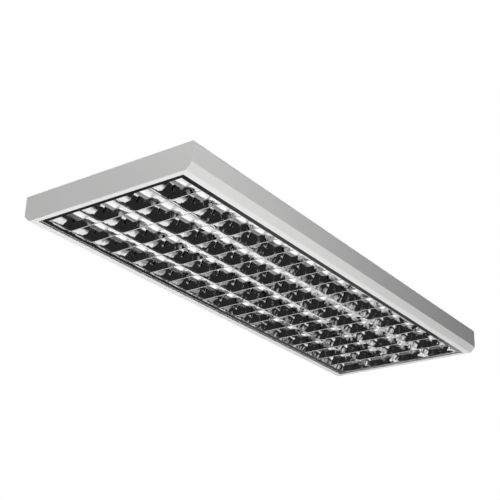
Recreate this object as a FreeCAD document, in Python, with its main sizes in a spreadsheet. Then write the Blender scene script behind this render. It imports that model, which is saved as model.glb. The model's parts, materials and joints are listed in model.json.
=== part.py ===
import FreeCAD, Part
import math
import os
import types
import Sketcher

# Surface mounted louvre luminaire for four straight tubes.
# X runs along the tubes, Y across them and Z up.
# The origin is the centre of the face that lies on the ceiling.

# Driving dimensions in millimetres, and four counts
driving = {
    # Folded steel housing
    "wall": 0.8,
    "bend_radius": 2.0,
    "chamfer": 13.5,
    "side_flange": 15.5,
    "end_flange": 12.0,
    "rail_lip": 10.0,
    "tab_length": 15.0,
    "tab_width": 30.0,
    "tab_inset": 12.0,
    "seam_gap": 0.05,
    # Tubes
    "rows": 4,
    "row_pitch": 90.0,
    "lamp_length": 1149.0,
    "tube_diameter": 16.0,
    "tube_wall": 0.8,
    "lamp_drop": 25.7,
    "cap_length": 12.0,
    "cap_wall": 0.3,
    "cap_floor": 1.0,
    "cap_gap": 0.05,
    "pin_spacing": 4.75,
    "pin_diameter": 2.4,
    "pin_length": 7.1,
    # Lampholders and their brackets
    "end_play": 0.4,
    "holder_depth": 13.0,
    "holder_width": 21.0,
    "holder_round": 1.0,
    "rotor_diameter": 12.0,
    "rotor_depth": 8.5,
    "rotor_gap": 0.1,
    "slot_gap": 0.3,
    "bracket_sheet": 1.0,
    "bracket_rail": 12.0,
    "bracket_foot": 9.5,
    "bracket_edge": 8.0,
    "end_room": 0.8,
    # Louvre
    "cells_per_row": 18,
    "side_margin": 7.5,
    "end_margin": 9.2,
    "louvre_gap": 1.0,
    "louvre_recess": 2.5,
    "louvre_sheet": 0.5,
    "side_strip": 13.6,
    "end_strip": 11.7,
    "strip_leg": 12.0,
    "trough_margin": 2.5,
    "trough_sink": 6.5,
    "border_drop": 3.0,
    "ridge_edge": 1.6,
    "ridge_lift": 2.8,
    "blade_height": 18.0,
    "blade_foot": 2.0,
    "blade_radius": 180.0,
    "blade_sink": 9.4,
    "lamp_clearance": 2.5,
    "holder_clearance": 2.0,
    "joint_gap": 0.3,
    # Louvre hinge and spring clips
    "hinge_inset": 6.5,
    "hinge_rise": 6.0,
    "hinge_pin_diameter": 4.0,
    "hinge_gap": 0.06,
    "hinge_room": 3.0,
    "hinge_pin_tail": 4.0,
    "hinge_sheet": 1.5,
    "hinge_width": 14.0,
    "lug_sheet": 2.0,
    "clip_sheet": 0.5,
    "clip_width": 25.0,
    "clip_bulge": 2.3,
    "clip_spacing": 700.0,
    # Control gear
    "ballast_length": 360.0,
    "ballast_width": 30.0,
    "ballast_height": 21.0,
    "ballast_foot": 11.0,
    "ballast_round": 1.5,
    "plug_length": 18.0,
    "plug_width": 24.0,
    "plug_edge": 2.5,
    "plug_row_gap": 4.2,
    "wire_hole": 2.6,
    "wire_hole_depth": 10.0,
    "wire_diameter": 2.0,
    "wire_bend": 10.0,
    "wire_seat": 8.0,
    "lead_pitch": 6.0,
    "lead_step": 4.0,
    "lead_clearance": 2.0,
    "nut_room": 0.5,
    "gear_clearance": 6.2,
    "block_offset": 230.0,
    "block_length": 56.0,
    "block_width": 20.0,
    "block_height": 17.0,
    "block_foot": 10.0,
    "block_poles": 5,
    "stud_diameter": 4.0,
    "stud_length": 6.0,
    "stud_gap": 0.2,
    "nut_width": 7.0,
    "nut_height": 3.2,
    "nut_gap": 0.05,
    # Fixing to the ceiling
    "mount_spacing": 800.0,
    "mount_spread": 224.0,
    "mount_hole": 5.5,
    "entry_offset": 300.0,
    "entry_hole": 20.0,
    "bush_bore": 14.0,
    "bush_flange": 25.0,
    "bush_lip": 2.0,
    "bush_skirt": 5.0,
}

doc = FreeCAD.newDocument("louvre_luminaire")
sheet = doc.addObject("Spreadsheet::Sheet", "sizes")
for line, (alias, number) in enumerate(driving.items(), start=1):
    sheet.set(f"A{line}", alias)
    sheet.set(f"B{line}", str(number))
    sheet.setAlias(f"B{line}", alias)
doc.recompute()


class Size:
    """A length with the expression that ties it to the sheet."""

    def __init__(self, value, text):
        self.value = value
        self.text = text

    def __neg__(self):
        return Size(-self.value, f"(-{self.text})")

    def __add__(self, other):
        other = as_size(other)
        return Size(self.value + other.value, f"({self.text} + {other.text})")

    def __sub__(self, other):
        other = as_size(other)
        return Size(self.value - other.value, f"({self.text} - {other.text})")

    def __mul__(self, other):
        other = as_size(other)
        return Size(self.value * other.value, f"({self.text} * {other.text})")

    def __truediv__(self, other):
        other = as_size(other)
        return Size(self.value / other.value, f"({self.text} / {other.text})")

    def __radd__(self, other):
        return as_size(other) + self

    def __rsub__(self, other):
        return as_size(other) - self

    def __rmul__(self, other):
        return as_size(other) * self


def as_size(number):
    return number if isinstance(number, Size) else Size(number, f"({number})")


def root(size):
    return Size(math.sqrt(size.value), f"sqrt{size.text}")


d = types.SimpleNamespace(**{alias: Size(sheet.get(alias), f"sizes.{alias}") for alias in driving})
rows = int(d.rows.value)
cells = int(d.cells_per_row.value)

# Heights, measured down from the ceiling
panel_face = -d.wall
lamp_axis = panel_face - d.lamp_drop
tube_radius = d.tube_diameter / 2
blade_top = lamp_axis - tube_radius - d.lamp_clearance
louvre_floor = blade_top - d.blade_height
housing_floor = louvre_floor - d.louvre_recess
side_height = -housing_floor - d.chamfer
ridge_top = panel_face - d.ballast_height - d.gear_clearance
louvre_depth = ridge_top - louvre_floor
end_blade_height = lamp_axis - d.holder_width / 2 - d.holder_clearance - louvre_floor

# Wires cross over the tubes to the ballasts, and the tubes' leads run one row lower
cap_radius = tube_radius + d.cap_gap + d.cap_wall
wire_radius = d.wire_diameter / 2
mains_height = lamp_axis + cap_radius + d.lead_clearance + wire_radius
lead_height = mains_height - d.plug_row_gap

# Lengths along X
holder_face = d.lamp_length / 2 + d.end_play
holder_back = holder_face + d.holder_depth
bracket_back = holder_back + d.bracket_sheet
housing_end = bracket_back + d.bracket_foot + d.end_room + d.wall
channel_end = housing_end - d.wall
opening_end = housing_end - d.end_flange
louvre_end = opening_end - d.louvre_gap
last_line = louvre_end - d.end_margin
cell_pitch = last_line * 2 / d.cells_per_row

# Widths along Y
louvre_side = d.rows * d.row_pitch / 2 + d.side_margin
strip_inside = louvre_side - d.side_strip
opening_side = louvre_side + d.louvre_gap
housing_side = opening_side + d.side_flange + d.chamfer

# Rows of tubes and the ridge lines between them
lamp_lines = [(k - (rows - 1) / 2) * d.row_pitch for k in range(rows)]
ridge_lines = [(k - rows / 2) * d.row_pitch for k in range(1, rows)]
ballast_lines = [ridge_lines[0], ridge_lines[-1]]

# Louvre curves: each mirror wall is an arc whose centre lies a little below the louvre floor
trough_radius = d.trough_sink + louvre_depth + d.trough_margin
hinge_line = louvre_side - d.hinge_inset
hinge_height = louvre_floor + d.hinge_rise

nodes = []


def tie(item, **sizes):
    """Set properties to sizes of the sheet; two underscores stand for a dot."""
    for name, size in sizes.items():
        item.setExpression(name.replace("__", "."), as_size(size).text)


def place(item, x=0, y=0, z=0, turned=False, angle=0):
    """Put an item at a point, turned half round about Z for the opposite end or side."""
    spin = FreeCAD.Rotation(FreeCAD.Vector(0, 0, 1), 180 if turned else angle)
    item.Placement = FreeCAD.Placement(FreeCAD.Vector(0, 0, 0), spin)
    tie(item, Placement__Base__x=x, Placement__Base__y=y, Placement__Base__z=z)
    return item


def new_body(label):
    body = doc.addObject("PartDesign::Body", label)
    nodes.append(body)
    return body


def new_sketch(body, role):
    plane = next(item for item in body.Origin.OriginFeatures if item.Role == role)
    sketch = body.newObject("Sketcher::SketchObject", body.Label + "_sketch")
    sketch.AttachmentSupport = [(plane, "")]
    sketch.MapMode = "FlatFace"
    return sketch


def arc_between(start, end, radius, turn):
    """The smaller arc from start to end, turning left (ccw) or right (cw)."""
    chord = end - start
    rise = math.sqrt(max(radius * radius - chord.Length ** 2 / 4, 0))
    side = FreeCAD.Vector(-chord.y, chord.x, 0).normalize() * (1 if turn == "ccw" else -1)
    centre = (start + end) * 0.5 + side * rise
    circle = Part.Circle(centre, FreeCAD.Vector(0, 0, 1), radius)
    angles = [math.atan2(point.y - centre.y, point.x - centre.x) for point in (start, end)]
    if turn == "cw":
        angles.reverse()
    return Part.ArcOfCircle(circle, *angles)


def fix_point(sketch, geometry, vertex, u, v):
    """Hold a point of the sketch at its two sizes, measured from the sketch's origin."""
    for kind, axis, size in (("DistanceX", -2, as_size(u)), ("DistanceY", -1, as_size(v))):
        if size.text == "(0)":
            sketch.addConstraint(Sketcher.Constraint("PointOnObject", geometry, vertex, axis))
        else:
            rule = Sketcher.Constraint(kind, -1, 1, geometry, vertex, size.value)
            sketch.setExpression(f"Constraints[{sketch.addConstraint(rule)}]", size.text)


def fix_radius(sketch, geometry, radius):
    rule = Sketcher.Constraint("Radius", geometry, radius.value)
    sketch.setExpression(f"Constraints[{sketch.addConstraint(rule)}]", radius.text)


def draw(sketch, corners):
    """Draw a closed outline. A corner is (u, v), or (u, v, radius, turn) where an arc leaves it."""
    points = [FreeCAD.Vector(as_size(c[0]).value, as_size(c[1]).value, 0) for c in corners]
    first = sketch.GeometryCount
    ends = []
    for i, corner in enumerate(corners):
        start, end = points[i], points[(i + 1) % len(points)]
        if len(corner) == 2:
            sketch.addGeometry(Part.LineSegment(start, end), False)
        else:
            sketch.addGeometry(arc_between(start, end, corner[2].value, corner[3]), False)
        ends.append((2, 1) if corner[-1] == "cw" else (1, 2))
    for i, corner in enumerate(corners):
        after = (i + 1) % len(corners)
        joint = (first + i, ends[i][1], first + after, ends[after][0])
        sketch.addConstraint(Sketcher.Constraint("Coincident", *joint))
        fix_point(sketch, first + i, ends[i][0], corner[0], corner[1])
        if len(corner) == 4:
            fix_radius(sketch, first + i, corner[2])


def draw_circle(sketch, u, v, radius):
    centre = FreeCAD.Vector(as_size(u).value, as_size(v).value, 0)
    circle = Part.Circle(centre, FreeCAD.Vector(0, 0, 1), radius.value)
    geometry = sketch.addGeometry(circle, False)
    fix_point(sketch, geometry, 3, u, v)
    fix_radius(sketch, geometry, radius)


def rectangle(left, right, low, high):
    return [(left, low), (right, low), (right, high), (left, high)]


def pad(body, sketch, length, side="One side", back=False):
    feature = body.newObject("PartDesign::Pad", body.Label + "_pad")
    feature.Profile = sketch
    feature.SideType = side
    feature.Reversed = back
    tie(feature, Length=length)
    doc.recompute([body])


def pocket(body, sketch, depth=None, side="One side", back=False):
    """Cut a sketch out of the body, right through it where no depth is given."""
    before = body.Shape.Volume
    feature = body.newObject("PartDesign::Pocket", body.Label + "_pocket")
    feature.Profile = sketch
    feature.SideType = side
    feature.Reversed = back
    if depth is None:
        feature.Type = "ThroughAll"
    else:
        tie(feature, Length=depth)
    doc.recompute([body])
    if body.Shape.Volume >= before:
        raise RuntimeError(f"{body.Label}: a pocket cut nothing")


def fillet(body, radius, chosen):
    base = body.Tip
    names = [f"Edge{i}" for i, edge in enumerate(base.Shape.Edges, start=1) if chosen(edge)]
    feature = body.newObject("PartDesign::Fillet", body.Label + "_fillet")
    feature.Base = (base, names)
    tie(feature, Radius=radius)
    doc.recompute([body])


def runs_along_x(edge):
    return edge.BoundBox.YLength < 1e-6 and edge.BoundBox.ZLength < 1e-6


def lies_on(places):
    """A test for the edges along X that pass through one of these places in Y and Z."""
    def test(edge):
        middle = edge.BoundBox.Center
        gaps = [math.hypot(middle.y - y.value, middle.z - z.value) for y, z in places]
        return runs_along_x(edge) and min(gaps) < 1e-6
    return test


def cylinder_along_x(label, radius, length, x=0, y=0, z=0):
    rod = doc.addObject("Part::Cylinder", label)
    rod.Placement.Rotation = FreeCAD.Rotation(FreeCAD.Vector(0, 1, 0), 90)
    tie(rod, Radius=radius, Height=length)
    tie(rod, Placement__Base__x=x, Placement__Base__y=y, Placement__Base__z=z)
    return rod


def cylinder_down(label, radius, length, x=0, y=0, z=0):
    """An upright cylinder that hangs below its point."""
    rod = doc.addObject("Part::Cylinder", label)
    tie(rod, Radius=radius, Height=length)
    tie(rod, Placement__Base__x=x, Placement__Base__y=y, Placement__Base__z=as_size(z) - length)
    return rod


def box(label, low, high):
    block = doc.addObject("Part::Box", label)
    spans = [as_size(b) - a for a, b in zip(low, high)]
    tie(block, Length=spans[0], Width=spans[1], Height=spans[2])
    tie(block, Placement__Base__x=low[0], Placement__Base__y=low[1], Placement__Base__z=low[2])
    return block


def cut(label, base, tool):
    result = doc.addObject("Part::Cut", label)
    result.Base = base
    result.Tool = tool
    return result


def fuse(label, shapes):
    result = doc.addObject("Part::MultiFuse", label)
    result.Shapes = shapes
    return result


def group(label, solids):
    """Several loose solids of one kind in one node."""
    result = doc.addObject("Part::Compound", label)
    result.Links = solids
    nodes.append(result)
    return result


# Housing

def housing_outline():
    """Outer section: flat back, upright sides and 45 degree lower bends."""
    low_side = housing_side - d.chamfer
    return [(-housing_side, 0), (-housing_side, -side_height), (-low_side, housing_floor),
            (low_side, housing_floor), (housing_side, -side_height), (housing_side, 0)]


def back_panel():
    """Flat sheet against the ceiling, with the fixing holes and the cable entry."""
    panel = new_body("back_panel")
    outline = new_sketch(panel, "XY_Plane")
    draw(outline, rectangle(-channel_end, channel_end, -housing_side, housing_side))
    pad(panel, outline, d.wall, back=True)
    holes = new_sketch(panel, "XY_Plane")
    for x in (-d.mount_spacing / 2, d.mount_spacing / 2):
        for y in (-d.mount_spread / 2, d.mount_spread / 2):
            draw_circle(holes, x, y, d.mount_hole / 2)
    draw_circle(holes, -d.entry_offset, 0, d.entry_hole / 2)
    pocket(panel, holes, d.wall * 2)


def side_rail(label, turned):
    """Folded side: a lip spot welded under the panel, an upright wall, a 45 degree bend and a flange."""
    rail = new_body(label)
    bend = d.wall * math.tan(math.radians(22.5))
    inside = housing_side - d.wall
    lip_top = panel_face - d.seam_gap
    lip_face = lip_top - d.wall
    lip_edge = housing_side - d.rail_lip
    knee = -side_height + bend
    toe = housing_side - d.chamfer - bend
    flange_face = housing_floor + d.wall
    outer_bends = [(housing_side, lip_top), (housing_side, -side_height),
                   (housing_side - d.chamfer, housing_floor)]
    inner_bends = [(toe, flange_face), (inside, knee), (inside, lip_face)]
    flange_edge = [(opening_side, housing_floor), (opening_side, flange_face)]
    section = new_sketch(rail, "YZ_Plane")
    draw(section, [(lip_edge, lip_top)] + outer_bends + flange_edge + inner_bends + [(lip_edge, lip_face)])
    pad(rail, section, channel_end * 2, "Symmetric")
    fillet(rail, d.bend_radius, lies_on(outer_bends))
    fillet(rail, d.bend_radius - d.wall, lies_on(inner_bends))
    place(rail, turned=turned)


def end_cap(label, turned):
    """Flat end plate with an inward lower flange and tabs clinched to the channel."""
    cap = new_body(label)
    outline = new_sketch(cap, "YZ_Plane")
    draw(outline, housing_outline())
    pad(cap, outline, d.wall)
    corners = [(housing_side, -side_height), (housing_side - d.chamfer, housing_floor)]
    bends = [(side * y, z) for side in (-1, 1) for y, z in corners]
    fillet(cap, d.bend_radius, lies_on(bends))
    flange = new_sketch(cap, "YZ_Plane")
    reach = opening_side - d.joint_gap
    draw(flange, rectangle(-reach, reach, housing_floor, housing_floor + d.wall))
    pad(cap, flange, d.end_flange)
    tabs = new_sketch(cap, "YZ_Plane")
    inside = housing_side - d.wall - d.seam_gap
    tab_top = panel_face - d.seam_gap
    for side in (-1, 1):
        near, far = side * (inside - d.tab_inset), side * (inside - d.tab_inset - d.tab_width)
        draw(tabs, rectangle(near, far, tab_top - d.wall, tab_top))
        near, far = side * inside, side * (inside - d.wall)
        draw(tabs, rectangle(near, far, d.tab_inset - side_height, -d.tab_inset))
    pad(cap, tabs, d.tab_length)
    place(cap, x=housing_end if turned else -housing_end, turned=turned)


# Lampholders, brackets and tubes

def lampholder(label, row, turned):
    """Tombstone holder: round nose on the tube's axis, rotor bore and an entry slot from below."""
    holder = new_body(label)
    half = d.holder_width / 2
    outline = new_sketch(holder, "YZ_Plane")
    top = d.lamp_drop - d.seam_gap
    draw(outline, [(-half, top), (-half, 0, half, "ccw"), (0, -half, half, "ccw"), (half, 0), (half, top)])
    pad(holder, outline, d.holder_depth)
    below_top = top.value - d.holder_round.value
    fillet(holder, d.holder_round, lambda edge: edge.BoundBox.XMax < 1e-6 and edge.BoundBox.ZMax < below_top)
    bore = new_sketch(holder, "YZ_Plane")
    draw_circle(bore, 0, 0, d.rotor_diameter / 2 + d.rotor_gap)
    pocket(holder, bore, d.rotor_depth + d.slot_gap, back=True)
    entry = new_sketch(holder, "YZ_Plane")
    slot = d.pin_diameter / 2 + d.slot_gap
    draw(entry, rectangle(-slot, slot, -half - d.holder_round, 0))
    pocket(holder, entry, d.rotor_depth, back=True)
    place(holder, x=-holder_face if turned else holder_face, y=lamp_lines[row], z=lamp_axis, turned=turned)


def lampholder_bracket(turned):
    """Comb shaped angle: a rail under the back panel, a tongue behind each holder and a screwed foot."""
    bracket = doc.addObject("PartDesign::Body", "lampholder_bracket")
    rail_low = panel_face - d.bracket_rail
    rail_top = panel_face - d.seam_gap
    tongue_low = lamp_axis - d.holder_width / 2
    reach = lamp_lines[-1] + d.holder_width / 2 + d.bracket_edge
    comb = [(-reach, rail_top), (-reach, rail_low)]
    for line in lamp_lines:
        left, right = line - d.holder_width / 2, line + d.holder_width / 2
        comb += [(left, rail_low), (left, tongue_low), (right, tongue_low), (right, rail_low)]
    comb += [(reach, rail_low), (reach, rail_top)]
    plate = new_sketch(bracket, "YZ_Plane")
    draw(plate, comb)
    pad(bracket, plate, d.bracket_sheet)
    foot = new_sketch(bracket, "YZ_Plane")
    draw(foot, rectangle(-reach, reach, rail_top - d.bracket_sheet, rail_top))
    pad(bracket, foot, d.bracket_sheet + d.bracket_foot)
    holes = new_sketch(bracket, "XY_Plane")
    for y in ridge_lines:
        draw_circle(holes, d.bracket_sheet + d.bracket_foot / 2, y, d.stud_diameter / 2 + d.stud_gap)
    pocket(bracket, holes, d.bracket_rail)
    return place(bracket, x=-holder_back if turned else holder_back, turned=turned)


def lamp_tube(row):
    """Glass tube, its ends inside the two caps."""
    length = d.lamp_length - (d.cap_floor + d.cap_gap) * 2
    outside = cylinder_along_x("glass", tube_radius, length, -length / 2, lamp_lines[row], lamp_axis)
    bore_radius = tube_radius - d.tube_wall
    inside = cylinder_along_x("bore", bore_radius, length, -length / 2, lamp_lines[row], lamp_axis)
    nodes.append(cut(f"lamp_tube_{row + 1}", outside, inside))


def lamp_caps(row):
    """The two end caps, each a thin cup with a pair of contact pins, level at rest."""
    y = lamp_lines[row]
    caps = []
    for side in (-1, 1):
        face = side * d.lamp_length / 2
        inner = face - side * d.cap_length
        floor = face - side * d.cap_floor
        start = face if side < 0 else inner
        cup = cylinder_along_x("cup", cap_radius, d.cap_length, start, y, lamp_axis)
        start = floor if side < 0 else inner
        depth = d.cap_length - d.cap_floor
        seat = cylinder_along_x("seat", tube_radius + d.cap_gap, depth, start, y, lamp_axis)
        pins = []
        length = d.pin_length + d.cap_floor
        start = floor - length if side < 0 else floor
        for step in (-1, 1):
            pin_y = y + step * d.pin_spacing / 2
            pins.append(cylinder_along_x("pin", d.pin_diameter / 2, length, start, pin_y, lamp_axis))
        caps.append(fuse("cap", [cut("shell", cup, seat)] + pins))
    group(f"lamp_caps_{row + 1}", caps)


def lamp_rotors(row):
    """The slotted rotors in the two holders, which turn with the tube's pins."""
    y = lamp_lines[row]
    half_slot = (d.pin_diameter + d.slot_gap) / 2
    slot_depth = d.pin_length - d.end_play + d.slot_gap
    reach = d.rotor_diameter
    rotors = []
    for side in (-1, 1):
        face = side * holder_face
        start = face - d.rotor_depth if side < 0 else face
        disc = cylinder_along_x("disc", d.rotor_diameter / 2, d.rotor_depth, start, y, lamp_axis)
        start = face - slot_depth if side < 0 else face - d.slot_gap
        low = (start, y - reach, lamp_axis - half_slot)
        high = (start + slot_depth + d.slot_gap, y + reach, lamp_axis + half_slot)
        rotors.append(cut("rotor", disc, box("pin_slot", low, high)))
    group(f"lamp_rotors_{row + 1}", rotors)


# Louvre

def arc_reach(radius, height):
    return root(radius * radius - height * height)


def vee_profile(edge, radius, sink, low, high):
    """Section of an open V blade of thin sheet, its two walls arcs that flare upwards."""
    thick = radius + d.louvre_sheet
    centre = edge + arc_reach(radius, sink + low)

    def face(height):
        return centre - arc_reach(radius, sink + height)

    def back(height):
        return centre - arc_reach(thick, sink + height)

    inner = low + d.louvre_sheet
    base, top, inside = louvre_floor + low, louvre_floor + high, louvre_floor + inner
    return [(-face(low), base), (face(low), base, radius, "cw"),
            (face(high), top), (back(high), top, thick, "ccw"),
            (back(inner), inside), (-back(inner), inside, thick, "ccw"),
            (-back(high), top), (-face(high), top, radius, "cw")]


def edge_profile(inner, outer, radius, sink, high):
    """Section of a border reflector: a curved mirror wall, a flat strip and an upright outer leg."""
    thick = radius + d.louvre_sheet
    centre = inner - arc_reach(radius, sink)
    top = louvre_floor + high
    strip_top = louvre_floor + d.louvre_sheet
    leg_top = louvre_floor + d.strip_leg
    leg_inside = outer - d.louvre_sheet
    wall_foot = centre + arc_reach(thick, sink + d.louvre_sheet)
    wall_back, wall_face = centre + arc_reach(thick, sink + high), centre + arc_reach(radius, sink + high)
    return [(inner, louvre_floor), (outer, louvre_floor), (outer, leg_top), (leg_inside, leg_top),
            (leg_inside, strip_top), (wall_foot, strip_top, thick, "ccw"),
            (wall_back, top), (wall_face, top, radius, "cw")]


def cut_for_reflectors(body):
    """Notch a blade for the ridge reflectors and trim its ends to the side reflectors."""
    radius = trough_radius - d.joint_gap
    sink = d.trough_sink
    spare = d.louvre_sheet * 2
    low, high = d.ridge_lift - d.joint_gap, d.blade_height + spare
    centre = d.ridge_edge / 2 + arc_reach(trough_radius, sink + d.ridge_lift)
    near, wide = centre - arc_reach(radius, sink + low), centre - arc_reach(radius, sink + high)
    sketch = new_sketch(body, "YZ_Plane")
    for line in ridge_lines:
        draw(sketch, [(line - near, louvre_floor + low), (line + near, louvre_floor + low, radius, "cw"),
                      (line + wide, louvre_floor + high), (line - wide, louvre_floor + high, radius, "cw")])
    centre = strip_inside - arc_reach(trough_radius, sink)
    foot, shoulder = centre + arc_reach(radius, sink - spare), centre + arc_reach(radius, sink + high)
    base, top, outside = louvre_floor - spare, louvre_floor + high, strip_inside + d.side_strip
    draw(sketch, [(foot, base, radius, "ccw"), (shoulder, top), (outside, top), (outside, base)])
    draw(sketch, [(-foot, base, radius, "cw"), (-shoulder, top), (-outside, top), (-outside, base)])
    pocket(body, sketch, side="Symmetric")


def cross_blade(number):
    blade = new_body(f"cross_blade_{number:02d}")
    section = new_sketch(blade, "XZ_Plane")
    profile = vee_profile(d.blade_foot / 2, d.blade_radius, d.blade_sink, as_size(0), d.blade_height)
    draw(section, profile)
    pad(blade, section, strip_inside * 2, "Symmetric")
    cut_for_reflectors(blade)
    place(blade, x=cell_pitch * (number - cells / 2))


def end_reflector(label, turned):
    reflector = new_body(label)
    section = new_sketch(reflector, "XZ_Plane")
    inner = d.end_margin - d.end_strip
    draw(section, edge_profile(inner, d.end_margin, d.blade_radius, d.blade_sink, end_blade_height))
    pad(reflector, section, (strip_inside - d.joint_gap) * 2, "Symmetric")
    cut_for_reflectors(reflector)
    place(reflector, x=-last_line if turned else last_line, turned=turned)


def side_reflector(label, turned):
    reflector = new_body(label)
    section = new_sketch(reflector, "YZ_Plane")
    height = louvre_depth - d.border_drop
    draw(section, edge_profile(strip_inside, louvre_side, trough_radius, d.trough_sink, height))
    pad(reflector, section, louvre_end * 2, "Symmetric")
    place(reflector, turned=turned)


def ridge_reflector(number):
    ridge = new_body(f"ridge_reflector_{number}")
    section = new_sketch(ridge, "YZ_Plane")
    edge = d.ridge_edge / 2
    draw(section, vee_profile(edge, trough_radius, d.trough_sink, d.ridge_lift, louvre_depth))
    pad(ridge, section, louvre_end * 2, "Symmetric")
    place(ridge, y=ridge_lines[number - 1])


# Louvre hinge and spring clips

def hinge_lugs():
    """Plates in the ends of the far border channel, each with the pin that the louvre swings on."""
    inside = strip_inside + d.louvre_sheet * 2
    outside = louvre_side - d.louvre_sheet - d.seam_gap
    low = louvre_floor + d.louvre_sheet + d.seam_gap
    high = louvre_floor + d.strip_leg
    pin_length = d.lug_sheet + d.hinge_room + d.hinge_sheet + d.hinge_pin_tail
    lugs = []
    for side in (-1, 1):
        start = -louvre_end if side < 0 else louvre_end - d.lug_sheet
        plate = box("plate", (start, inside, low), (start + d.lug_sheet, outside, high))
        start = -louvre_end + d.lug_sheet - pin_length if side < 0 else louvre_end - d.lug_sheet
        pin = cylinder_along_x("pin", d.hinge_pin_diameter / 2, pin_length, start, hinge_line, hinge_height)
        lugs.append(fuse("lug", [plate, pin]))
    group("louvre_hinge_lugs", lugs)


def hinge_bracket(turned):
    """Z shaped bracket on the end cap, with the bearing hole for the louvre's pin."""
    bracket = doc.addObject("PartDesign::Body", "hinge_bracket")
    front = louvre_end + d.hinge_room
    rear = channel_end - d.seam_gap
    low = housing_floor + d.wall * 2
    shelf = hinge_height + d.hinge_rise
    high = shelf + d.hinge_width
    section = new_sketch(bracket, "XZ_Plane")
    draw(section, [(front, low), (front + d.hinge_sheet, low), (front + d.hinge_sheet, shelf), (rear, shelf),
                   (rear, high), (rear - d.hinge_sheet, high), (rear - d.hinge_sheet, shelf + d.hinge_sheet),
                   (front, shelf + d.hinge_sheet)])
    pad(bracket, section, d.hinge_width, "Symmetric")
    hole = new_sketch(bracket, "YZ_Plane")
    draw_circle(hole, 0, hinge_height, d.hinge_pin_diameter / 2 + d.hinge_gap)
    pocket(bracket, hole, side="Symmetric")
    return place(bracket, y=hinge_line, turned=turned)


def spring_clips():
    """Bent leaf springs on the free border, whose bulges rest on the housing's flange."""
    top = louvre_floor + d.strip_leg
    bend = louvre_floor + d.strip_leg * 2 / 3
    crest = louvre_floor + d.strip_leg / 3
    tip = housing_floor + d.wall + d.joint_gap
    outer = -louvre_side - d.clip_sheet
    bulge = outer - d.clip_bulge
    thick = d.clip_sheet
    clips = []
    for side in (-1, 1):
        clip = doc.addObject("PartDesign::Body", "clip")
        section = new_sketch(clip, "YZ_Plane")
        draw(section, [(outer, top), (outer, bend), (bulge, crest), (outer, tip), (outer + thick, tip),
                       (bulge + thick, crest), (outer + thick, bend), (outer + thick, top)])
        pad(clip, section, d.clip_width, "Symmetric")
        clips.append(place(clip, x=side * d.clip_spacing / 2))
    group("louvre_spring_clips", clips)


# Control gear, terminals and fasteners

def ballast_stud_reach():
    return (d.ballast_length - d.ballast_foot) / 2


def ballast(number):
    """Sheet steel case on a foot plate that is held by a stud at each end."""
    case = new_body(f"ballast_{number}")
    half_width = d.ballast_width / 2
    foot = new_sketch(case, "XY_Plane")
    draw(foot, rectangle(-d.ballast_length / 2, d.ballast_length / 2, -half_width, half_width))
    pad(case, foot, d.bracket_sheet, back=True)
    cover = new_sketch(case, "XY_Plane")
    reach = d.ballast_length / 2 - d.ballast_foot - d.plug_length
    draw(cover, rectangle(-reach, reach, -half_width, half_width))
    pad(case, cover, d.ballast_height, back=True)
    low = -d.ballast_height.value
    fillet(case, d.ballast_round, lambda edge: runs_along_x(edge) and edge.BoundBox.ZMax < low + 1e-6)
    holes = new_sketch(case, "XY_Plane")
    for x in (-ballast_stud_reach(), ballast_stud_reach()):
        draw_circle(holes, x, 0, d.stud_diameter / 2 + d.stud_gap)
    pocket(case, holes, d.bracket_sheet * 2)
    place(case, y=ballast_lines[number - 1], z=panel_face - d.seam_gap)


def wire_holes(body, role, offsets, height, depth=None):
    """A row of round wire holes in the face of a terminal, right through it where no depth is given."""
    sketch = new_sketch(body, role)
    for offset in offsets:
        draw_circle(sketch, offset, height, d.wire_hole / 2)
    if depth is None:
        pocket(body, sketch, side="Symmetric")
    else:
        pocket(body, sketch, depth)


def plug_face():
    return d.ballast_length / 2 - d.ballast_foot


def mains_offsets():
    """Mains wires in a plug, which pass on either side of the nut on the ballast's foot."""
    clear = d.nut_width / math.sqrt(3) + d.nut_room + wire_radius
    return [clear, -clear, -clear - d.lead_step]


def lead_offsets():
    return [step * d.lead_pitch / 2 for step in (-3, -1, 1, 3)]


def ballast_plugs():
    """Push-in terminals at both ends of each ballast, with two rows of wire holes facing outwards."""
    plugs = []
    top = panel_face - d.seam_gap * 2 - d.bracket_sheet
    low = lead_height - d.plug_edge
    for line in ballast_lines:
        for side in (-1, 1):
            plug = doc.addObject("PartDesign::Body", "plug")
            section = new_sketch(plug, "YZ_Plane")
            draw(section, rectangle(-d.plug_width / 2, d.plug_width / 2, low, top))
            pad(plug, section, d.plug_length - d.seam_gap, back=True)
            way = 1 if line.value * side > 0 else -1
            mains = [way * offset for offset in mains_offsets()]
            wire_holes(plug, "YZ_Plane", mains, mains_height, d.wire_hole_depth)
            wire_holes(plug, "YZ_Plane", lead_offsets(), lead_height, d.wire_hole_depth)
            plugs.append(place(plug, x=side * plug_face(), y=line, turned=side < 0))
    group("ballast_plugs", plugs)


def block_pole(number):
    poles = int(d.block_poles.value)
    return (number - (poles - 1) / 2) * (d.block_length / d.block_poles)


def terminal_block():
    """Mains terminal block with a row of wire holes right through and a foot at each end."""
    block = new_body("terminal_block")
    half = d.block_width / 2
    reach = d.block_length / 2
    foot = new_sketch(block, "XY_Plane")
    draw(foot, rectangle(-reach - d.block_foot, reach + d.block_foot, -half, half))
    pad(block, foot, d.bracket_sheet, back=True)
    housing = new_sketch(block, "XY_Plane")
    draw(housing, rectangle(-reach, reach, -half, half))
    pad(block, housing, d.block_height, back=True)
    poles = [block_pole(k) for k in range(int(d.block_poles.value))]
    seat = panel_face - d.seam_gap
    wire_holes(block, "XZ_Plane", poles, mains_height - seat)
    studs = new_sketch(block, "XY_Plane")
    for x in (-reach - d.block_foot / 2, reach + d.block_foot / 2):
        draw_circle(studs, x, 0, d.stud_diameter / 2 + d.stud_gap)
    pocket(block, studs, d.bracket_sheet * 2)
    place(block, x=-d.block_offset, z=seat)


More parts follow.
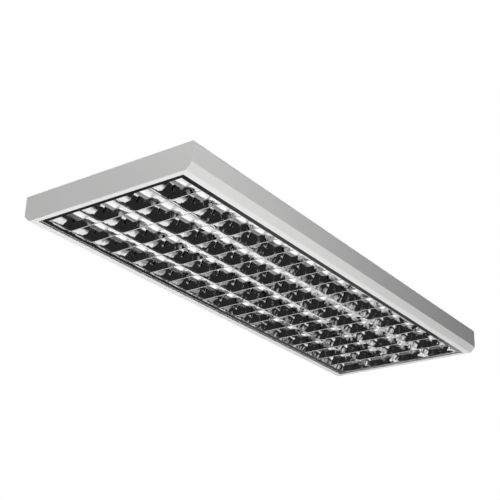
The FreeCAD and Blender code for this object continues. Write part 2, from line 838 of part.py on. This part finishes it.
def wire(run, turn, rise):
    """A wire that runs straight, bends to one side (turn 1 is left) and runs straight again."""
    lead = doc.addObject("PartDesign::Body", "wire")
    section = new_sketch(lead, "YZ_Plane")
    draw_circle(section, 0, 0, wire_radius)
    path = new_sketch(lead, "XY_Plane")
    corner = run + d.wire_bend
    points = [(0, 0), (run, 0), (corner, turn * d.wire_bend), (corner, turn * (d.wire_bend + rise))]
    spots = [FreeCAD.Vector(as_size(u).value, as_size(v).value, 0) for u, v in points]
    path.addGeometry(Part.LineSegment(spots[0], spots[1]), False)
    way = "ccw" if turn > 0 else "cw"
    path.addGeometry(arc_between(spots[1], spots[2], d.wire_bend.value, way), False)
    path.addGeometry(Part.LineSegment(spots[2], spots[3]), False)
    bend_start, bend_end = (1, 2) if turn > 0 else (2, 1)
    path.addConstraint(Sketcher.Constraint("Coincident", 0, 2, 1, bend_start))
    path.addConstraint(Sketcher.Constraint("Coincident", 1, bend_end, 2, 1))
    line_ends = ((0, 1), (0, 2), (2, 1), (2, 2))
    for (geometry, vertex), point in zip(line_ends, points):
        fix_point(path, geometry, vertex, *point)
    fix_radius(path, 1, d.wire_bend)
    pipe = lead.newObject("PartDesign::AdditivePipe", "wire_pipe")
    pipe.Profile = section
    pipe.Spine = (path, ["Edge1", "Edge2", "Edge3"])
    doc.recompute([lead])
    return lead


def wiring():
    """Mains wires from the terminal block to each ballast, and two leads to each lampholder."""
    wires = []
    plug_seat = plug_face() - d.wire_seat
    block_seat = d.block_width / 2 - d.wire_seat
    for line in ballast_lines:
        side = 1 if line.value > 0 else -1
        for pole, offset in enumerate(mains_offsets()):
            start = block_pole(pole) - d.block_offset
            run = side * line + offset - block_seat - d.wire_bend
            rise = -plug_seat - start - d.wire_bend
            mains = wire(run, -side, rise)
            wires.append(place(mains, start, side * block_seat, mains_height, angle=side * 90))
        for end in (-1, 1):
            for offset in lead_offsets():
                outer = abs(offset.value) > d.lead_pitch.value
                way = 1 if offset.value > 0 else -1
                run = holder_face + d.lead_step * (1 if outer else 2) - plug_seat - d.wire_bend
                reach = (d.row_pitch - d.holder_width) / 2 - d.seam_gap
                rise = reach - way * offset - d.wire_bend
                lead = wire(run, way * end, rise)
                wires.append(place(lead, end * plug_seat, line + offset, lead_height, turned=end < 0))
    group("wiring", wires)


def cable_bush():
    """Snap bush that lines the cable entry, level with the ceiling face."""
    x = -d.entry_offset
    barrel = cylinder_down("barrel", d.entry_hole / 2 - d.seam_gap, d.wall + d.bush_lip + d.bush_skirt, x)
    lip = cylinder_down("lip", d.bush_flange / 2, d.bush_lip, x, 0, panel_face - d.seam_gap)
    bore = cylinder_down("bore", d.bush_bore / 2, d.wall + d.bush_lip + d.bush_skirt, x)
    nodes.append(cut("cable_bush", fuse("bush", [barrel, lip]), bore))


def stud_places():
    places = []
    for y in ballast_lines:
        places += [(-ballast_stud_reach(), y), (ballast_stud_reach(), y)]
    foot_middle = bracket_back + d.bracket_foot / 2
    for y in ridge_lines:
        places += [(-foot_middle, y), (foot_middle, y)]
    block_reach = (d.block_length + d.block_foot) / 2
    places += [(-d.block_offset - block_reach, 0), (-d.block_offset + block_reach, 0)]
    return places


def studs_and_nuts():
    """Weld studs under the back panel and the nuts that clamp each foot."""
    studs, nuts = [], []
    nut_top = panel_face - d.seam_gap * 2 - d.bracket_sheet
    for x, y in stud_places():
        studs.append(cylinder_down("stud", d.stud_diameter / 2, d.stud_length, x, y, panel_face))
        hexagon = doc.addObject("Part::Prism", "hexagon")
        hexagon.Polygon = 6
        tie(hexagon, Circumradius=d.nut_width / math.sqrt(3), Height=d.nut_height)
        tie(hexagon, Placement__Base__x=x, Placement__Base__y=y, Placement__Base__z=nut_top - d.nut_height)
        thread = cylinder_down("thread", d.stud_diameter / 2 + d.nut_gap, d.nut_height, x, y, nut_top)
        nuts.append(cut("nut", hexagon, thread))
    group("studs_and_nuts", studs + nuts)


back_panel()
side_rail("side_rail_near", True)
side_rail("side_rail_far", False)
for end, turned in (("left", False), ("right", True)):
    end_cap(f"end_cap_{end}", turned)
for end, turned in (("left", True), ("right", False)):
    end_reflector(f"end_reflector_{end}", turned)
    for row in range(rows):
        lampholder(f"lampholder_{end}_{row + 1}", row, turned)
for row in range(rows):
    lamp_tube(row)
    lamp_caps(row)
    lamp_rotors(row)
for number in (1, 2):
    ballast(number)
group("lampholder_brackets", [lampholder_bracket(True), lampholder_bracket(False)])
ballast_plugs()
terminal_block()
wiring()
cable_bush()
studs_and_nuts()
for number in range(1, rows):
    ridge_reflector(number)
side_reflector("side_reflector_near", True)
side_reflector("side_reflector_far", False)
for number in range(1, cells):
    cross_blade(number)
hinge_lugs()
group("hinge_brackets", [hinge_bracket(True), hinge_bracket(False)])
spring_clips()
doc.recompute()

for item in doc.Objects:
    if "Invalid" in item.State or "Error" in item.State:
        raise RuntimeError(f"{item.Label} failed: {item.State}")
for node in nodes:
    if node.Shape.isNull() or not node.Shape.isValid():
        raise RuntimeError(f"{node.Label} has no valid shape")

os.makedirs("parts", exist_ok=True)
for node in nodes:
    node.Shape.exportStep(f"parts/{node.Label}.step")
print(f"{len(nodes)} nodes written")
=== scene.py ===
import json
import math

import bmesh
import bpy
from mathutils import Matrix, Quaternion, Vector


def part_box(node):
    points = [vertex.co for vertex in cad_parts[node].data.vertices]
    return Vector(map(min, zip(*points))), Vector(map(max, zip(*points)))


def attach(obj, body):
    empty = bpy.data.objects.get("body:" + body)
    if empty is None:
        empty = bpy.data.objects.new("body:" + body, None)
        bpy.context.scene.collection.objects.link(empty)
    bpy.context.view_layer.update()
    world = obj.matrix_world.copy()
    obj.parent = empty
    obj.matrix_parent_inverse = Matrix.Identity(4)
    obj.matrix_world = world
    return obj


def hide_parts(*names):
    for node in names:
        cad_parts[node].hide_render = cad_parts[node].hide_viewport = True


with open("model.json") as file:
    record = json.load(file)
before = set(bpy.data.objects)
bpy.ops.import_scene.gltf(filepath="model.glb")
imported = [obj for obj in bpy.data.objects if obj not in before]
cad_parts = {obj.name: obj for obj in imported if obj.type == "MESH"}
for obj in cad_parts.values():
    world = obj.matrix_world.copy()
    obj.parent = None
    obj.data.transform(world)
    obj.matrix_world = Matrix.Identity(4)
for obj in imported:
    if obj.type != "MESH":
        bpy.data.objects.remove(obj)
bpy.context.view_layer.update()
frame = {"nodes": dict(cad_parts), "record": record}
nodes = frame["nodes"]
scene = bpy.context.scene
scene.view_settings.view_transform = "Standard"
print("frame loaded:", len(nodes), "nodes")


# camera, at the place the photograph was taken from

cameraLook = {
    "place": (-1.92745, -1.33215, -0.98955),
    "azimuth": -53.64,      # degrees, seen from the near long side and the left end
    "elevation": -24.07,    # from below the fixture
    "roll": 1.885,
    "lens": 77.8,           # millimetres
    "sensor": 36.0,
}


def addCamera(look):
    data = bpy.data.cameras.new("camera")
    data.lens = look["lens"]
    data.sensor_width = look["sensor"]
    camera = bpy.data.objects.new("camera", data)
    scene.collection.objects.link(camera)
    turn, lift, roll = (math.radians(look[name]) for name in ("azimuth", "elevation", "roll"))
    flat = math.cos(lift)
    ahead = Vector((-math.sin(turn) * flat, math.cos(turn) * flat, -math.sin(lift)))
    camera.rotation_mode = "QUATERNION"
    camera.rotation_quaternion = ahead.to_track_quat("-Z", "Y") @ Quaternion((0, 0, 1), roll)
    camera.location = look["place"]
    scene.camera = camera


addCamera(cameraLook)
print("camera placed")


# shader sums: a socket that takes part in + * < > and makes the other nodes

class Link:
    def __init__(self, tree, socket=None):
        self.tree = tree
        self.socket = socket

    def node(self, kind, settings=None, inputs=None, out=0):
        made = self.tree.nodes.new("ShaderNode" + kind)
        for name, value in (settings or {}).items():
            setattr(made, name, value)
        for name, value in (inputs or {}).items():
            if isinstance(value, Link):
                self.tree.links.new(value.socket, made.inputs[name])
            else:
                made.inputs[name].default_value = value
        return Link(self.tree, made.outputs[out])

    def outputs(self, *names):      # other outputs of the same node
        return [Link(self.tree, self.socket.node.outputs[name]) for name in names]

    def calc(self, operation, first, second=0.0):
        return self.node("Math", {"operation": operation}, {0: first, 1: second})

    def __add__(self, other):
        return self.calc("ADD", self, other)

    def __mul__(self, other):
        return self.calc("MULTIPLY", self, other)

    def __gt__(self, other):
        return self.calc("GREATER_THAN", self, other)

    def __lt__(self, other):
        return self.calc("LESS_THAN", self, other)

    def __abs__(self):
        return self.calc("ABSOLUTE", self)

    def atLeast(self, other):
        return self.calc("MAXIMUM", self, other)

    def blend(self, low, high):      # inputs 6 and 7 and output 2 are the colours
        return self.node("Mix", {"data_type": "RGBA"}, {0: self, 6: low, 7: high}, out=2)

    def blendShaders(self, low, high):
        return self.node("MixShader", inputs={0: self, 1: low, 2: high})

    __radd__ = __add__
    __rmul__ = __mul__


def newMaterial(name, constants):
    material = bpy.data.materials.new(name)
    material.use_nodes = True
    shader = material.node_tree.nodes["Principled BSDF"]
    for socket, value in constants.items():
        shader.inputs[socket].default_value = value
    maker = Link(material.node_tree)
    place = maker.node("TexCoord", out="Object")
    return material, shader, maker, place


def feed(maker, shader, **sockets):
    for name, link in sockets.items():
        maker.tree.links.new(link.socket, shader.inputs[name.replace("_", " ")])


def grey(level):
    return (level, level, level, 1.0)


def noise(place, scale, detail=2.0, stretch=(1, 1, 1)):
    spread = place.node("Mapping", inputs={"Vector": place, "Scale": stretch})
    return place.node("TexNoise", inputs={"Vector": spread, "Scale": scale, "Detail": detail})


def bump(height, strength, depth):
    return height.node("Bump", inputs={"Height": height, "Strength": strength, "Distance": depth})


# finishes, with bump depths in metres

paintLook = {
    "pale": (0.83, 0.83, 0.826, 1.0),
    "dull": (0.79, 0.79, 0.782, 1.0),
    "cloudScale": 7,
    "specular": 0.45,
    "rough": 0.36, "roughSpread": 0.12, "roughScale": 108, "roughDetail": 3.0,
    "peelScale": 900, "peelDetail": 1.0, "peelStrength": 0.25, "peelDepth": 0.00004,
}


def whitePaint(look):
    constants = {"Specular IOR Level": look["specular"]}
    material, shader, maker, place = newMaterial("whitePowderCoat", constants)
    cloud = noise(place, look["cloudScale"])
    peel = noise(place, look["peelScale"], look["peelDetail"])
    fine = noise(place, look["roughScale"], look["roughDetail"])
    feed(maker, shader,
         Base_Color=cloud.blend(look["dull"], look["pale"]),
         Roughness=fine * look["roughSpread"] + look["rough"],
         Normal=bump(peel, look["peelStrength"], look["peelDepth"]))
    return material


mirrorLook = {
    "bright": 0.95, "dull": 0.91, "cloudScale": 14,
    "rough": 0.008, "roughSpread": 0.03,
    "rolledScale": 60, "rolledStretch": (0.04, 1, 1),      # rolling marks along the fixture
    "waveScale": 70, "waveDetail": 1.0, "waveStrength": 0.8, "waveDepth": 0.0005,
}


def mirrorAluminium(look):
    material, shader, maker, place = newMaterial("brightAluminium", {"Metallic": 1.0})
    cloud = noise(place, look["cloudScale"])
    rolled = noise(place, look["rolledScale"], stretch=look["rolledStretch"])
    wave = noise(place, look["waveScale"], look["waveDetail"])
    feed(maker, shader,
         Base_Color=cloud.blend(grey(look["dull"]), grey(look["bright"])),
         Roughness=rolled * look["roughSpread"] + look["rough"],
         Normal=bump(wave, look["waveStrength"], look["waveDepth"]))
    return material


metalLook = {
    "dullShare": 0.88, "roughSpread": 0.2,
    "grainScale": 240, "grainDetail": 3.0, "grainStrength": 0.15, "grainDepth": 0.00005,
}


def plainMetal(name, level, rough, stretch=(1, 1, 1)):
    look = metalLook
    material, shader, maker, place = newMaterial(name, {"Metallic": 1.0})
    grain = noise(place, look["grainScale"], look["grainDetail"], stretch)
    feed(maker, shader,
         Base_Color=grain.blend(grey(level * look["dullShare"]), grey(level)),
         Roughness=grain * look["roughSpread"] + rough,
         Normal=bump(grain, look["grainStrength"], look["grainDepth"]))
    return material


plasticLook = {
    "dullShare": 0.93, "cloudScale": 30, "roughSpread": 0.1,
    "grainScale": 1600, "grainDetail": 1.0, "grainStrength": 0.1, "grainDepth": 0.00003,
}


def plainPlastic(name, colour, rough):
    look = plasticLook
    material, shader, maker, place = newMaterial(name, {})
    cloud = noise(place, look["cloudScale"])
    grain = noise(place, look["grainScale"], look["grainDetail"])
    darker = tuple(channel * look["dullShare"] for channel in colour)
    feed(maker, shader,
         Base_Color=cloud.blend(darker + (1.0,), colour + (1.0,)),
         Roughness=grain * look["roughSpread"] + rough,
         Normal=bump(grain, look["grainStrength"], look["grainDepth"]))
    return material


tubeLook = {
    "white": 0.88, "cloudScale": 25, "cloudShare": 0.08,
    "endGrey": 0.62, "endShare": 0.6, "endStart": 0.52, "endFull": 0.57,      # metres from the middle
    "rough": 0.12, "roughSpread": 0.06,
    "coat": 0.4, "coatRough": 0.03,
    "glow": 0.2,
}


def tubeGlass(look):
    material, shader, maker, place = newMaterial("coatedTubeGlass", {
        "Coat Weight": look["coat"],
        "Coat Roughness": look["coatRough"],
        "Emission Color": grey(1.0),
        "Emission Strength": look["glow"],
    })
    along = place.node("SeparateXYZ", inputs={"Vector": place})
    ends = along.node("MapRange", inputs={
        "Value": abs(along), "From Min": look["endStart"], "From Max": look["endFull"],
    })
    cloud = noise(place, look["cloudScale"])
    greyed = ends * look["endShare"] + cloud * look["cloudShare"]
    feed(maker, shader,
         Base_Color=greyed.blend(grey(look["white"]), grey(look["endGrey"])),
         Roughness=cloud * look["roughSpread"] + look["rough"])
    return material


capLook = {
    "face": 0.5745,      # metres from the middle, brass pins beyond it
    "metal": (0.62, 0.62, 0.63, 1.0), "brass": (0.72, 0.55, 0.28, 1.0),
    "rough": 0.25, "roughSpread": 0.2,
    "grainScale": 300, "grainStretch": (0.1, 1, 1),
}


def tubeCap(look):
    material, shader, maker, place = newMaterial("tubeCapMetal", {"Metallic": 1.0})
    along = place.node("SeparateXYZ", inputs={"Vector": place})
    pins = abs(along) > look["face"]
    grain = noise(place, look["grainScale"], stretch=look["grainStretch"])
    feed(maker, shader,
         Base_Color=pins.blend(look["metal"], look["brass"]),
         Roughness=grain * look["roughSpread"] + look["rough"])
    return material


wireLook = {
    "lead": (0.78, 0.78, 0.76, 1.0), "leadBelow": -0.0172,      # lamp leads hang lower than the mains
    "brown": (0.2, 0.14, 0.1, 1.0), "firstTurn": -0.2468, "firstSide": 0.090,
    "blue": (0.16, 0.2, 0.3, 1.0), "nextTurn": -0.2356, "nextSide": 0.0825,
    "earth": (0.5, 0.49, 0.3, 1.0),
    "rough": 0.3, "roughSpread": 0.12, "grainScale": 400,
}


def wireSleeve(look):
    material, shader, maker, place = newMaterial("wireSleeve", {})
    x, y, z = place.node("SeparateXYZ", inputs={"Vector": place}).outputs("X", "Y", "Z")
    side = abs(y)
    first = (x < look["firstTurn"]).atLeast(side > look["firstSide"])
    following = (x < look["nextTurn"]).atLeast(side > look["nextSide"])
    mains = first.blend(following.blend(look["earth"], look["blue"]), look["brown"])
    grain = noise(place, look["grainScale"])
    feed(maker, shader,
         Base_Color=(z < look["leadBelow"]).blend(mains, look["lead"]),
         Roughness=grain * look["roughSpread"] + look["rough"])
    return material


finishes = {
    "white_paint": whitePaint(paintLook),
    "mirror_aluminium": mirrorAluminium(mirrorLook),
    "lamp_glass": tubeGlass(tubeLook),
    "lamp_cap": tubeCap(capLook),
    "holder_plastic": plainPlastic("holderPlastic", (0.82, 0.82, 0.8), rough=0.35),
    "rotor_plastic": plainPlastic("rotorPlastic", (0.72, 0.72, 0.69), rough=0.4),
    "zinc_steel": plainMetal("zincPlatedSteel", level=0.62, rough=0.28),
    "spring_steel": plainMetal("springSteel", level=0.45, rough=0.22, stretch=(1, 0.05, 0.05)),
    "gear_case": plainMetal("ballastCase", level=0.74, rough=0.34, stretch=(0.03, 1, 1)),
    "terminal_plastic": plainPlastic("terminalPlastic", (0.7, 0.7, 0.66), rough=0.4),
    "bush_rubber": plainPlastic("bushRubber", (0.03, 0.03, 0.03), rough=0.6),
    "wire_sleeve": wireSleeve(wireLook),
}
for subpart in frame["record"]["subparts"]:
    mesh = nodes[subpart["node"]].data
    mesh.materials.clear()
    mesh.materials.append(finishes[subpart["material_slot"]])
print("finishes:", len(finishes))


# louvre: smooth mirror sheets in place of the solids' facets, in metres

louvre = {
    "sheet": 0.0005,           # thickness
    "troughRadius": 0.036,     # mirror walls along the tubes
    "troughSink": 0.0065,      # their centres below the louvre's underside
    "bladeRadius": 0.18,       # mirror walls across the tubes
    "bladeSink": 0.0094,
    "bladeFold": 0.001,        # round lower fold of a cross blade
    "ridgeEdge": 0.0008,       # half of the flat under a ridge
    "stripLeg": 0.012,         # upright outer edge of the frame's strip
    "seam": 0.0003,            # gap of a blade to the walls and ridges
    "stationStep": 0.01,       # first spacing across the rows, before the blade is fitted
    "mergeGap": 1e-6,
    "steps": 20,
    "foldSteps": 6,
    "creaseAngle": math.radians(28),
}


def arcAngle(radius, height):
    return math.asin(height / radius)


def arcReach(radius, height):
    return math.sqrt(radius ** 2 - height ** 2)


# heights and places that the CAD solids give

blades = sorted(name for name in nodes if name.startswith("cross_blade"))
ridges = sorted(name for name in nodes if name.startswith("ridge_reflector"))
bladeLow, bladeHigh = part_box(blades[0])
ridgeLow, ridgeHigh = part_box(ridges[0])
sideLow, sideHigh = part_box("side_reflector_far")
underside, bladeTop = bladeLow.z, bladeHigh.z
ridgeFoot, ridgeTop = ridgeLow.z, ridgeHigh.z
wallInside, wallTop = sideLow.y, sideHigh.z
louvreEnd, louvreSide = sideHigh.x, sideHigh.y
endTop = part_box("end_reflector_left")[1].z
ridgeLines = [sum(corner.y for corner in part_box(node)) / 2 for node in ridges]
trough, troughZ = louvre["troughRadius"], underside - louvre["troughSink"]
sideCentre = wallInside - arcReach(trough, wallTop - troughZ)
ridgeCentre = louvre["ridgeEdge"] + arcReach(trough, ridgeFoot - troughZ)
stripInside = sideCentre + arcReach(trough, louvre["troughSink"])
legTop = underside + louvre["stripLeg"]

# stations across the rows: one at each side wall, and two at each ridge between them
lastStation = 2 * len(ridgeLines) + 1
underRidges = [{2 * k - 1, 2 * k} for k in range(1, len(ridgeLines) + 1)]


def nextPoint(bm, vert, place):
    point = bmesh.ops.extrude_vert_indiv(bm, verts=[vert])["verts"][0]
    point.co = place
    return point


def curve(bm, start, centre, axis, angle, steps):
    swept = bmesh.ops.spin(bm, geom=[start], cent=centre, axis=axis, angle=angle, steps=steps)
    return swept["geom_last"][0]


def stretchOut(bm, edges, step):
    grown = bmesh.ops.extrude_edge_only(bm, edges=edges)["geom"]
    moved = {part for part in grown if isinstance(part, bmesh.types.BMVert)}
    edges = [part for part in grown if isinstance(part, bmesh.types.BMEdge)]
    bmesh.ops.translate(bm, verts=list(moved), vec=step)
    return moved, [edge for edge in edges if moved.issuperset(edge.verts)]


def halfToWhole(bm, axis):
    bmesh.ops.mirror(bm, geom=bm.verts[:] + bm.edges[:], merge_dist=louvre["mergeGap"], axis=axis)


def turnRound(bm):
    half = Matrix.Rotation(math.pi, 3, "Z")
    bmesh.ops.rotate(bm, verts=bm.verts[:], cent=(0, 0, 0), matrix=half)


def finishSheet(bm, node):
    bmesh.ops.remove_doubles(bm, verts=bm.verts[:], dist=louvre["mergeGap"])
    bmesh.ops.recalc_face_normals(bm, faces=bm.faces[:])
    lowest = min(bm.faces, key=lambda face: face.calc_center_median().z)
    if lowest.normal.z > 0:
        bmesh.ops.reverse_faces(bm, faces=bm.faces[:])
    for face in bm.faces:
        face.smooth = True
    for edge in bm.edges:
        edge.smooth = edge.calc_face_angle(math.pi) < louvre["creaseAngle"]
    mesh = bpy.data.meshes.new(node + "_sheet")
    bm.to_mesh(mesh)
    bm.free()
    piece = bpy.data.objects.new(node + "_sheet", mesh)
    scene.collection.objects.link(piece)
    mesh.materials.append(finishes["mirror_aluminium"])
    sheet = piece.modifiers.new("sheet", "SOLIDIFY")
    sheet.thickness = louvre["sheet"]
    sheet.offset = -1.0      # the mirror face stays where it is
    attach(piece, "louvre")
    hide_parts(node)


def ridgeReflector(node, line):
    bm = bmesh.new()
    middle = bm.verts.new((-louvreEnd, 0, ridgeFoot))
    foot = nextPoint(bm, middle, (-louvreEnd, louvre["ridgeEdge"], ridgeFoot))
    sweep = arcAngle(trough, ridgeTop - troughZ) - arcAngle(trough, ridgeFoot - troughZ)
    curve(bm, foot, (-louvreEnd, ridgeCentre, troughZ), (1, 0, 0), -sweep, louvre["steps"])
    halfToWhole(bm, "Y")
    stretchOut(bm, bm.edges[:], (2 * louvreEnd, 0, 0))
    bmesh.ops.translate(bm, verts=bm.verts[:], vec=(0, line, 0))
    finishSheet(bm, node)


def sideReflector(node, side):
    bm = bmesh.new()
    corner = bm.verts.new((-louvreEnd, stripInside, underside))
    outer = nextPoint(bm, corner, (-louvreEnd, louvreSide, underside))
    nextPoint(bm, outer, (-louvreEnd, louvreSide, legTop))
    sweep = arcAngle(trough, wallTop - troughZ) - arcAngle(trough, louvre["troughSink"])
    curve(bm, corner, (-louvreEnd, sideCentre, troughZ), (1, 0, 0), sweep, louvre["steps"])
    stretchOut(bm, bm.edges[:], (2 * louvreEnd, 0, 0))
    if side < 0:
        turnRound(bm)
    finishSheet(bm, node)


def stationPlace(station, z):      # where a blade meets a curved wall or ridge, at one height
    inner = trough - louvre["seam"]
    bend = arcReach(inner, max(z, underside) - troughZ)
    if station in (0, lastStation):
        return (sideCentre + bend) * (1 if station else -1)
    low = arcReach(inner, ridgeFoot - louvre["seam"] - troughZ)
    side = 1 if station % 2 == 0 else -1
    return ridgeLines[(station - 1) // 2] + side * (ridgeCentre - min(bend, low))


def acrossRows(bm):      # draws a section out over all rows, notched for the ridges
    station = bm.verts.layers.int.new("station")
    rim = bm.edges[:]
    for number in range(1, lastStation + 1):
        moved, rim = stretchOut(bm, rim, (0, louvre["stationStep"], 0))
        for vert in moved:
            vert[station] = number
    notchFoot = ridgeFoot - louvre["seam"]
    notched = []
    for face in bm.faces:
        ends = {vert[station] for vert in face.verts}
        if ends in underRidges and face.calc_center_median().z > notchFoot:
            notched.append(face)
    bmesh.ops.delete(bm, geom=notched, context="FACES")
    for vert in bm.verts:
        vert.co.y = stationPlace(vert[station], vert.co.z)


def crossBlade(node, along):
    bm = bmesh.new()
    fold, radius, sink = louvre["bladeFold"], louvre["bladeRadius"], louvre["bladeSink"]
    middle = bm.verts.new((0, 0, underside))
    foldCentre = (0, 0, underside + fold)
    knee = curve(bm, middle, foldCentre, (0, 1, 0), -math.pi / 2, louvre["foldSteps"])
    flankCentre = (fold + arcReach(radius, sink + fold), 0, underside - sink)
    sweep = arcAngle(radius, sink + bladeTop - underside) - arcAngle(radius, sink + fold)
    curve(bm, knee, flankCentre, (0, 1, 0), sweep, louvre["steps"])
    halfToWhole(bm, "X")
    acrossRows(bm)
    bmesh.ops.translate(bm, verts=bm.verts[:], vec=(along, 0, 0))
    finishSheet(bm, node)


def endReflector(node, end):
    bm = bmesh.new()
    radius, sink = louvre["bladeRadius"], louvre["bladeSink"]
    wallHeight = endTop - underside
    middle = abs(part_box(node)[1 if end < 0 else 0].x) - arcReach(radius, sink + wallHeight)
    corner = bm.verts.new((middle + arcReach(radius, sink), 0, underside))
    outer = nextPoint(bm, corner, (louvreEnd, 0, underside))
    nextPoint(bm, outer, (louvreEnd, 0, legTop))
    sweep = arcAngle(radius, sink + wallHeight) - arcAngle(radius, sink)
    curve(bm, corner, (middle, 0, underside - sink), (0, 1, 0), -sweep, louvre["steps"])
    acrossRows(bm)
    if end < 0:
        turnRound(bm)
    finishSheet(bm, node)


for node, line in zip(ridges, ridgeLines):
    ridgeReflector(node, line)
sideReflector("side_reflector_near", -1)
sideReflector("side_reflector_far", 1)
endReflector("end_reflector_left", -1)
endReflector("end_reflector_right", 1)
for node in blades:
    low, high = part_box(node)
    crossBlade(node, (low.x + high.x) / 2)
print("louvre sheets made")


# studio: pale floor, soft cloths that give the light and a dark room for the mirrors

studio = {
    "floorZ": -3.2, "floorSize": 9.0, "floorLevel": 0.85,
    "worldLight": 0.05,
    "lampPlace": (0, 0, 2.6), "lampSize": 1.2, "lampLevel": 36.0,      # watts for a square metre
    "middle": (0, 0, -0.03),
    "softBorder": 8.0,      # degrees
    "riseSteps": 16, "turnSteps": 24,
}
cloths = {      # azimuths from +X, elevations, distance, level, level seen in a mirror
    "room": ((-180, 180), (-89, 3), 3.05, 0.022, 0.022),
    "frontRoom": ((-188, 8), (-9, 40), 3.04, 0.022, 0.022),
    "keyCloth": ((-139, -104), (-36, 4), 1.8, 2.4, 1.0),
    "keyLowCloth": ((-154, -101), (-66, -41), 1.7, 4.0, 1.0),
    "sideCloth": ((-137, -99), (1, 39), 1.15, 0.75, 0.75),
    "endCloth": ((-169, -136), (4, 44), 1.4, 2.2, 1.0),
    "edgeCloth": ((-66, -42), (-49, 9), 2.9, 0.2, 0.85),
    "softEdgeCloth": ((-54, -26), (-49, 9), 3.0, 0.1, 0.28),
    "rightCloth": ((-19, 19), (-19, 9), 3.0, 4.0, 1.0),
    "hazeCloth": ((14, 46), (-49, 9), 3.02, 0.06, 0.06),
    "backCloth": ((86, 139), (-49, 9), 2.95, 2.3, 0.7),
    "rearCloth": ((131, 184), (-34, 9), 3.0, 0.9, 0.9),
    "rearLowCloth": ((71, 184), (-66, -41), 2.9, 1.5, 1.0),
    "underCloth": ((-180, 180), (-89, -58), 3.0, 2.3, 0.45),
}
wholeTurn, quarterTurn = 360, 90
lowestLift = -89      # a cloth that starts here has no soft border below


def stageMaterial(name, build):
    material = bpy.data.materials.new(name)
    material.use_nodes = True
    tree = material.node_tree
    tree.nodes.remove(tree.nodes["Principled BSDF"])
    tree.links.new(build(Link(tree)).socket, tree.nodes["Material Output"].inputs["Surface"])
    return material


def stagePiece(name, bm, build):
    mesh = bpy.data.meshes.new(name)
    bm.to_mesh(mesh)
    bm.free()
    piece = bpy.data.objects.new(name, mesh)
    scene.collection.objects.link(piece)
    mesh.materials.append(stageMaterial(name, build))
    return piece


def whiteLight(maker, strength, kind="Emission"):
    return maker.node(kind, inputs={"Color": grey(1.0), "Strength": strength})


def seenDirect(maker):
    camera, glossy, through = maker.node("LightPath").outputs(
        "Is Camera Ray", "Is Glossy Ray", "Is Transmission Ray")
    return camera.atLeast(glossy).atLeast(through)


def seenInMirror(maker):
    glossy, scattered = maker.node("LightPath").outputs("Is Glossy Ray", "Diffuse Depth")
    return glossy * (scattered < 0.5)      # not after a bounce on a dull surface


def addFloor():
    bm = bmesh.new()
    bmesh.ops.create_grid(bm, x_segments=1, y_segments=1, size=studio["floorSize"] / 2)
    bmesh.ops.translate(bm, verts=bm.verts[:], vec=(0, 0, studio["floorZ"]))

    def pale(maker):
        dull = maker.node("BsdfDiffuse", inputs={"Color": grey(studio["floorLevel"])})
        return seenDirect(maker).blendShaders(dull, whiteLight(maker, 1.0))

    stagePiece("floor", bm, pale)


def softBorder(bm, turn, lift):      # fades a cloth out towards its edges
    fade = bm.verts.layers.float.new("fade")
    width = turn[1] - turn[0]
    for vert in bm.verts:
        way = vert.co - Vector(studio["middle"])
        azimuth = math.degrees(math.atan2(way.y, way.x))
        up = math.degrees(math.asin(way.z / way.length))
        along = (azimuth - turn[0] + quarterTurn) % wholeTurn - quarterTurn
        margins = [lift[1] - up]
        if lift[0] > lowestLift:
            margins.append(up - lift[0])
        if width < wholeTurn:
            margins += [along, width - along]
        vert[fade] = min(1.0, max(0.0, min(margins) / studio["softBorder"]))


def addCloth(name, turn, lift, distance, level, seen):
    bm = bmesh.new()
    centre = Vector(studio["middle"])
    start, end, low, high = (math.radians(angle) for angle in turn + lift)
    swing = Matrix.Rotation(start, 3, "Z")
    foot = bm.verts.new(centre + swing @ Vector((math.cos(low), 0, math.sin(low))) * distance)
    curve(bm, foot, centre, swing @ Vector((0, -1, 0)), high - low, studio["riseSteps"])
    bmesh.ops.spin(bm, geom=bm.verts[:] + bm.edges[:], cent=centre, axis=(0, 0, 1), angle=end - start,
                   steps=studio["turnSteps"], use_merge=turn[1] - turn[0] == wholeTurn)
    softBorder(bm, turn, lift)

    def glow(maker):
        light = seenInMirror(maker).blendShaders(whiteLight(maker, level), whiteLight(maker, seen))
        fade = maker.node("Attribute", {"attribute_name": "fade"}, out="Fac")
        return fade.blendShaders(maker.node("BsdfTransparent"), light)

    stagePiece(name, bm, glow).visible_camera = False


def addLamp():
    data = bpy.data.lights.new("aboveLight", "AREA")
    data.size = studio["lampSize"]
    data.energy = studio["lampLevel"] * data.size ** 2
    lamp = bpy.data.objects.new("aboveLight", data)
    scene.collection.objects.link(lamp)
    lamp.location = studio["lampPlace"]
    lamp.visible_camera = False


def addWorld():
    world = bpy.data.worlds.new("studio")
    scene.world = world
    world.use_nodes = True
    maker = Link(world.node_tree)
    light = whiteLight(maker, studio["worldLight"], "Background")
    both = seenDirect(maker).blendShaders(light, whiteLight(maker, 1.0, "Background"))
    maker.tree.links.new(both.socket, maker.tree.nodes["World Output"].inputs["Surface"])


addFloor()
for name, look in cloths.items():
    addCloth(name, *look)
addLamp()
addWorld()
print("studio ready")
